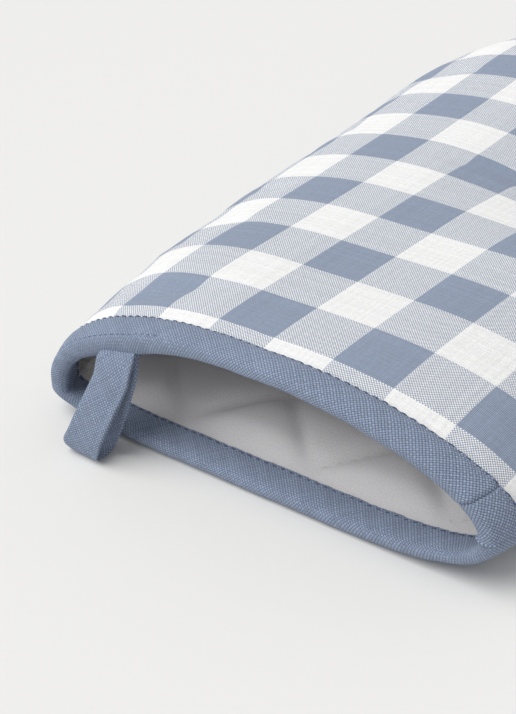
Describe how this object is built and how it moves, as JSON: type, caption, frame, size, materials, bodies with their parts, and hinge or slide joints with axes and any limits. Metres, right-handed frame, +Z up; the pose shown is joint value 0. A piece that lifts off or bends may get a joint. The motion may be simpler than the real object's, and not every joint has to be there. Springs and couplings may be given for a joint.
{
  "type": "oven mitt",
  "caption": "Padded gingham oven mitt with a thumb, quilted lining, bias-bound gaping cuff and a hanging loop, lying palm down.",
  "frame": {"origin": "on the flat underside of the palm, under the middle of the cuff's width, 73 mm behind the cuff's edge", "axes": "+Y from the cuff to the fingertips, +Z up from the palm to the back of the hand, thumb on the +X side"},
  "size_m": [0.2234, 0.3148, 0.0449],
  "materials": {
    "gingham_cotton": "matte woven cotton check",
    "slate_binding": "matte plain-weave bias tape",
    "lining_cotton": "matte brushed cotton",
    "wadding": "matte fibre",
    "white_thread": "satin thread",
    "navy_thread": "satin thread"
  },
  "bodies": {
    "mitt": {"back_shell": "gingham_cotton", "palm_shell": "gingham_cotton", "back_wadding": "wadding", "palm_wadding": "wadding", "back_lining": "lining_cotton", "palm_lining": "lining_cotton", "back_quilting_thread": "white_thread", "palm_quilting_thread": "white_thread", "shell_seam_thread": "white_thread", "lining_seam_thread": "white_thread", "cuff_binding": "slate_binding", "binding_topstitch": "navy_thread", "binding_inner_stitch": "navy_thread", "loop_tack_stitch": "navy_thread"},
    "hanging_loop": {"hanging_loop": "slate_binding", "loop_edge_stitch": "navy_thread"}
  },
  "joints": [
    {"name": "loop_swing", "type": "hinge", "parent": "mitt", "child": "hanging_loop", "pos_m": [-0.0473, -0.0756, 0.0269], "axis": [-1, 0, 0], "range_deg": [0, 90]}
  ]
}
